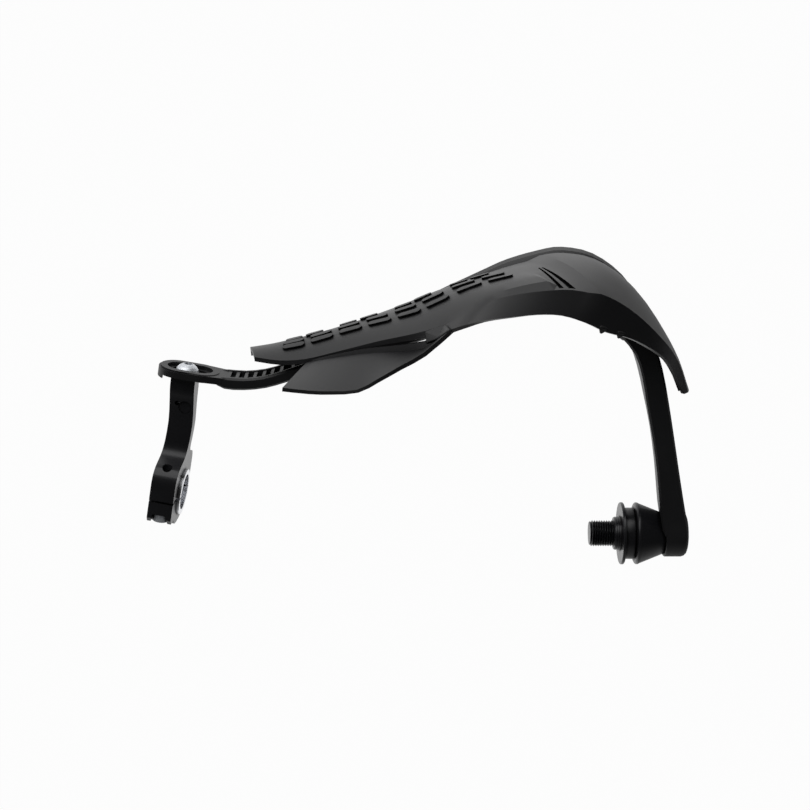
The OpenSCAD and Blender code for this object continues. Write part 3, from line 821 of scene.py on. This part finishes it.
@dataclass(frozen=True)
class Thread:
    """A thread along X, from its shoulder at x = 0 to its free end. Sizes in millimetres."""

    diameter: float = 16.0
    length: float = 15.0
    pitch: float = 1.5
    depth: float = 0.95
    # Chamfer of the free end, and where the crest begins behind it
    chamfer: float = 1.0
    crest_from: float = 0.15
    rings_a_pitch: int = 10
    # The groove's section: the slope of its flanks, and the flat that the crest keeps
    flank_slope: float = 1.25
    crest_flat: float = 0.12
    # Lengths over which the groove deepens from the free end and runs out at the shoulder
    lead: float = 1.2
    runout: float = 1.0
    # Share of the depth at the free end, and of the chamfer that the groove takes up there
    lead_share: float = 0.25
    chamfer_share: float = 0.6
    # Stretches at the shoulder and the free end that stay as spun, and the crest's tolerance
    shoulder_plain: float = 0.02
    end_plain: float = 0.1
    crest_tolerance: float = 0.01

    def line(self) -> list[Point]:
        """Line along the crest, cut finely enough to carry the helix.

        Returns:
            Points from the free end to the shoulder.
        """
        count = int(self.length / self.pitch * self.rings_a_pitch)
        start = self.crest_from - self.length
        return [(start - start * i / count, self.diameter / 2) for i in range(count)]

    def depth_at(self, x: float, turn: float) -> float:
        """Depth below the crest at one point of the helix.

        Args:
            x: Distance along the axis.
            turn: Turns about the axis.

        Returns:
            The depth.
        """
        phase = (x / self.pitch - turn) % 1.0
        ridge = self.flank_slope * (1 - abs(2 * phase - 1)) - self.crest_flat
        groove = min(1.0, max(0.0, ridge))
        lead = min(1.0, (x + self.length) / self.lead)
        runout = min(1.0, -x / self.runout)
        cut = self.depth * groove * min(1.0, self.lead_share + lead) * runout
        return cut + (1 - lead) * self.chamfer * (1 - groove * self.chamfer_share)

    def cut(self, shape: bmesh.types.BMesh) -> None:
        """Presses the helical groove into the crest.

        Args:
            shape: The spun piece.
        """
        crest = self.diameter / 2 - self.crest_tolerance
        for vert in shape.verts:
            x, radius = vert.co.x / MM, math.hypot(vert.co.y, vert.co.z) / MM
            if x > -self.shoulder_plain or x < self.end_plain - self.length or radius < crest:
                continue
            turn = math.atan2(vert.co.y, vert.co.z) / (2 * math.pi)
            scale = (radius - self.depth_at(x, turn)) / radius
            vert.co.y *= scale
            vert.co.z *= scale


@dataclass(kw_only=True)
class Stud(Piece):
    """Threaded stud with its stepped collar and flange. Sizes in millimetres, from the shoulder."""

    node: str = "bar_end_stud"
    body: Body = Body.BAR_END
    slot: Slot = Slot.BLACK_ALUMINIUM
    lay: Lay = Lay.AROUND_X
    crease: float = 30.0
    thread: Thread = Thread()
    bore_d: float = 8.2
    bore_x: float = -9.5
    flange_d: float = 38.4
    flange_t: float = 2.0
    flange_front_chamfer: float = 0.3
    flange_back_chamfer: float = 0.4
    collar_d: float = 21.3
    collar_l: float = 4.0
    # The collar's rings: how much smaller the first is, how much each grows, and their grooves
    collar_rings: int = 3
    shoulder_drop: float = 0.9
    ring_drop: float = 0.4
    ring_rise: float = 0.2
    ring_groove: float = 0.4
    ring_from: float = 0.08
    ring_full_share: float = 0.6
    ring_to: float = 0.05
    steps: int = 96

    def name(self) -> str:
        """The piece's name."""
        return self.node + "_turned"

    def face(self) -> float:
        """Distance from the shoulder to the flange's far face."""
        return self.collar_l + self.flange_t

    def collar(self) -> list[Point]:
        """Section of the collar, up to the flange.

        Returns:
            Its points.
        """
        step = self.collar_l / self.collar_rings
        full = self.collar_d / 2
        outline = [(0.0, full - self.shoulder_drop)]
        for i in range(self.collar_rings):
            x, radius = i * step, full - self.ring_drop + self.ring_rise * i
            outline += [
                (x + self.ring_from, radius - self.ring_groove),
                (x + self.ring_full_share * step, radius),
                (x + step - self.ring_to, radius),
            ]
        return outline[:-1] + [(self.collar_l, full)]

    def outline(self) -> list[Point]:
        """Section of the stud, without its thread's groove.

        Returns:
            Its points.
        """
        thread, near, far, rim = self.thread, self.collar_l, self.face(), self.flange_d / 2
        front, back = self.flange_front_chamfer, self.flange_back_chamfer
        end = [(-thread.length, 0.0), (-thread.length, thread.diameter / 2 - thread.chamfer)]
        flange = [(near, rim - front), (near + front, rim), (far - back, rim), (far, rim - back)]
        bore = [(far, self.bore_d / 2), (self.bore_x, self.bore_d / 2), (self.bore_x, 0.0)]
        return end + thread.line() + self.collar() + flange + bore

    def model(self) -> bmesh.types.BMesh:
        """Spins the section and cuts the thread.

        Returns:
            The mesh.
        """
        shape = turned(self.outline(), self.steps)
        self.thread.cut(shape)
        bmesh.ops.recalc_face_normals(shape, faces=shape.faces)
        return shape


@dataclass
class BarEnd:
    """Stud, spacer, cone, bolt and washer at the bar's open end. Sizes in millimetres."""

    spacer_d: float = 31.8
    spacer_l: float = 6.6
    # Lead at the flange and groove at the cone: length, and how much smaller it is there
    spacer_lead: Point = (0.4, 0.3)
    spacer_groove: Point = (0.9, 1.2)
    spacer_rounding: float = 0.12
    cone_d: float = 38.4
    cone_end_d: float = 25.4
    cone_l: float = 18.2
    # The cone's rounded rim and its small end's chamfer, as distances from the face and drops
    cone_rim: tuple[Point, ...] = ((0.0, 1.5), (0.5, 0.5), (1.2, 0.0), (2.2, 0.15), (3.2, 0.7))
    cone_end_chamfer: Point = (0.5, 0.4)
    cone_rounding: float = 0.15
    washer_rounding: float = 0.15
    bolt_crease: float = 28.0

    def spacer_outline(self, start: float, bore: float) -> list[Point]:
        """Section of the spacer, with its lead at the flange and its groove at the cone.

        Args:
            start: The face that it stands on.
            bore: Radius of its bore.

        Returns:
            Its points.
        """
        end, rim = start + self.spacer_l, self.spacer_d / 2
        lead_l, lead_drop = self.spacer_lead
        groove_l, groove_drop = self.spacer_groove
        return [
            (start, bore),
            (start, rim - lead_drop),
            (start + lead_l, rim),
            (end - groove_l, rim),
            (end - groove_l, rim - groove_drop),
            (end, rim - groove_drop),
            (end, bore),
        ]

    def cone_outline(self, start: float, bore: float) -> list[Point]:
        """Section of the cone.

        Args:
            start: The face that it stands on.
            bore: Radius of its bore.

        Returns:
            Its points.
        """
        end, rim, small = start + self.cone_l, self.cone_d / 2, self.cone_end_d / 2
        chamfer_l, chamfer_drop = self.cone_end_chamfer
        front = [(start, bore)] + [(start + along, rim - drop) for along, drop in self.cone_rim]
        return front + [(end - chamfer_l, small), (end, small - chamfer_drop), (end, bore)]

    def build(self, shop: Shop) -> None:
        """Builds the five pieces.

        Args:
            shop: The finishes.
        """
        stud = Stud()
        stud.build(shop)
        bore, spacer_start = stud.bore_d / 2, stud.face()
        Spindle(
            node="bar_end_spacer",
            outline=self.spacer_outline(spacer_start, bore),
            rounding=self.spacer_rounding,
        ).build(shop)
        Spindle(
            node="bar_end_cone",
            outline=self.cone_outline(spacer_start + self.spacer_l, bore),
            rounding=self.cone_rounding,
        ).build(shop)
        Skin(
            node="bar_end_washer",
            body=Body.BAR_END,
            slot=Slot.PLATED_STEEL,
            rounding=self.washer_rounding,
        ).build(shop)
        Skin(
            node="bar_end_bolt",
            body=Body.BAR_END,
            slot=Slot.BLACK_STEEL,
            crease=self.bolt_crease,
        ).build(shop)


@dataclass
class GuardBody:
    """Shield, backbone and what joins them, with their creases in degrees."""

    screws: tuple[str, ...] = ("inner", "middle", "outer", "end")
    shield_crease: float = 24.0
    shield_side_crease: float = 14.0
    backbone_crease: float = 30.0
    screw_crease: float = 28.0

    def build(self, shop: Shop) -> None:
        """Builds the pieces.

        Args:
            shop: The finishes.
        """
        Skin(
            node="shield",
            body=Body.GUARD,
            slot=Slot.SHIELD,
            crease=self.shield_crease,
            side_crease=self.shield_side_crease,
        ).build(shop)
        Skin(
            node="backbone", body=Body.GUARD, slot=Slot.BACKBONE, crease=self.backbone_crease
        ).build(shop)
        Skin(node="boss_sleeve", body=Body.GUARD, slot=Slot.PLATED_STEEL).build(shop)
        for place in self.screws:
            Skin(
                node="shield_screw_" + place,
                body=Body.GUARD,
                slot=Slot.BLACK_STEEL,
                crease=self.screw_crease,
            ).build(shop)


@dataclass
class ArmAndClamp:
    """Arm, cap, reducer shells, clamp bolts and the slot screw, with their creases in degrees."""

    metal_crease: float = 28.0
    turned_crease: float = 30.0
    dome_crease: float = 24.0

    def build(self, shop: Shop) -> None:
        """Builds the pieces.

        Args:
            shop: The finishes.
        """
        blocks = [
            ("clamp_" + half, Slot.BLACK_ALUMINIUM, self.metal_crease) for half in ("arm", "cap")
        ]
        shells = [
            ("reducer_shell_" + side, Slot.SILVER_ALUMINIUM, self.turned_crease)
            for side in ("front", "rear")
        ]
        bolts = [
            ("clamp_bolt_" + side, Slot.PLATED_STEEL, self.turned_crease)
            for side in ("upper", "lower")
        ]
        for node, slot, crease in blocks + shells + bolts:
            Skin(node=node, body=Body.CLAMP, slot=slot, crease=crease).build(shop)
        Skin(
            node="slot_screw", body=Body.CARRIAGE, slot=Slot.PLATED_STEEL, crease=self.dome_crease
        ).build(shop)


# ------------------------------------------------------------------------------------------ studio


@dataclass(frozen=True)
class Glow:
    """One soft patch of light on the room's walls.

    Its bearing runs in degrees from +X towards +Y. It begins and is full where a direction's
    closeness to that bearing, from -1 to 1, reaches start and full.
    """

    bearing: float
    strength: float
    start: float
    full: float


@dataclass
class Studio:
    """Pale floor, soft light and the camera."""

    # The floor, in metres: its height, its half width, and where the painted shade on its mirror
    # image begins and is full along X
    floor_z: float = -0.30
    floor_half: float = 6.0
    floor_dims_from: float = 0.0
    floor_dim_at: float = 0.14
    # Brightness of the floor to the camera, and how dark the painted shade on its mirror image is
    floor_glow: float = 0.97
    floor_reflection_shade: float = 0.85
    floor_colour: Colour = (0.9, 0.9, 0.9)
    floor_roughness: float = 0.9
    ceiling: float = 0.045
    glows: tuple[Glow, ...] = (Glow(112.0, 2.2, 0.42, 0.95), Glow(270.0, 0.33, 0.40, 1.0))
    # The camera: its tilt in degrees, its focal length and picture in pixels, and in
    # millimetres its sensor, the point it aims at and its distance
    tilt: float = 17.0
    focal_px: float = 1532.0
    frame_px: float = 810.0
    sensor: float = 36.0
    aim: tuple[float, float] = (-129.1, 79.5)
    distance: float = 950.0
    # How far the camera sees, in metres
    sight: float = 50.0

    def floor_material(self) -> bpy.types.Material:
        """A pale matt surface that the camera and reflections see as white, with painted shade on
        its reflected glow towards +X.

        Returns:
            The material.
        """
        bench = Bench("floor_white")
        bench.surface({"Base Color": (*self.floor_colour, 1.0), "Roughness": self.floor_roughness})
        path = bench.add("ShaderNodeLightPath")
        mirrored = bench.out(path, "Is Glossy Ray") + bench.out(path, "Is Transmission Ray")
        east = bench.split(bench.place())[0]
        # Painted shade: the floor's glow in reflections darkens towards +X
        reflection_shade = bench.swell(east, self.floor_dims_from, self.floor_dim_at, self.floor_reflection_shade)
        direct = bench.out(path, "Is Camera Ray") * self.floor_glow
        seen = (direct + mirrored * (1.0 - reflection_shade)).clamp()
        white = {"Color": (1.0, 1.0, 1.0, 1.0), "Strength": 1.0}
        bench.blend(seen, bench.add("ShaderNodeEmission", sockets=white))
        return bench.material

    def build_floor(self) -> None:
        """Lays the floor well below the part."""
        shape = bmesh.new()
        bmesh.ops.create_grid(shape, x_segments=1, y_segments=1, size=self.floor_half)
        bmesh.ops.translate(shape, verts=shape.verts, vec=(0, 0, self.floor_z))
        mesh = bpy.data.meshes.new("floor")
        shape.to_mesh(mesh)
        shape.free()
        floor = bpy.data.objects.new("floor", mesh)
        bpy.context.scene.collection.objects.link(floor)
        mesh.materials.append(self.floor_material())

    def build_room(self) -> None:
        """Sets a dim room with soft patches of light, and white behind all the camera sees."""
        world = bpy.data.worlds.new("room")
        world.use_nodes = True
        board = Board(world.node_tree)
        output = board.add("ShaderNodeOutputWorld")
        direction = board.out(board.add("ShaderNodeTexCoord"), "Generated")
        east, north, _ = board.split(direction)
        level: Signal | float = self.ceiling
        for glow in self.glows:
            bearing = math.radians(glow.bearing)
            facing = east * math.cos(bearing) + north * math.sin(bearing)
            level = board.swell(facing, glow.start, glow.full, glow.strength) + level
        camera = board.out(board.add("ShaderNodeLightPath"), "Is Camera Ray")
        strength = level + camera * (1.0 - level)
        background = board.add(
            "ShaderNodeBackground", sockets={"Color": (1.0, 1.0, 1.0, 1.0), "Strength": strength}
        )
        board.feed(output, "Surface", board.out(background))
        bpy.context.scene.world = world

    def build_camera(self) -> None:
        """Places the camera above the part, tipped from the front."""
        tilt = math.radians(self.tilt)
        up = Vector((0, math.cos(tilt), -math.sin(tilt)))
        back = Vector((0, math.sin(tilt), math.cos(tilt)))
        data = bpy.data.cameras.new("camera")
        data.sensor_width = self.sensor
        data.lens = self.focal_px / self.frame_px * self.sensor
        data.clip_end = self.sight
        camera = bpy.data.objects.new("camera", data)
        across, above = self.aim
        camera.location = (Vector((across, 0, 0)) + up * above + back * self.distance) * MM
        camera.rotation_euler = (-tilt, 0, 0)
        bpy.context.scene.collection.objects.link(camera)
        bpy.context.scene.camera = camera

    def build(self) -> None:
        """Builds the whole studio."""
        self.build_floor()
        self.build_room()
        self.build_camera()
        bpy.context.scene.view_settings.view_transform = "Standard"


def main() -> None:
    """Builds the studio and every sub-assembly."""
    logging.basicConfig(level=logging.INFO, format="%(name)s %(message)s")
    Studio().build()
    shop = Shop()
    GuardBody().build(shop)
    ArmAndClamp().build(shop)
    BarEnd().build(shop)
    LOG.info("sizes written")


if __name__ == "__main__":
    main()
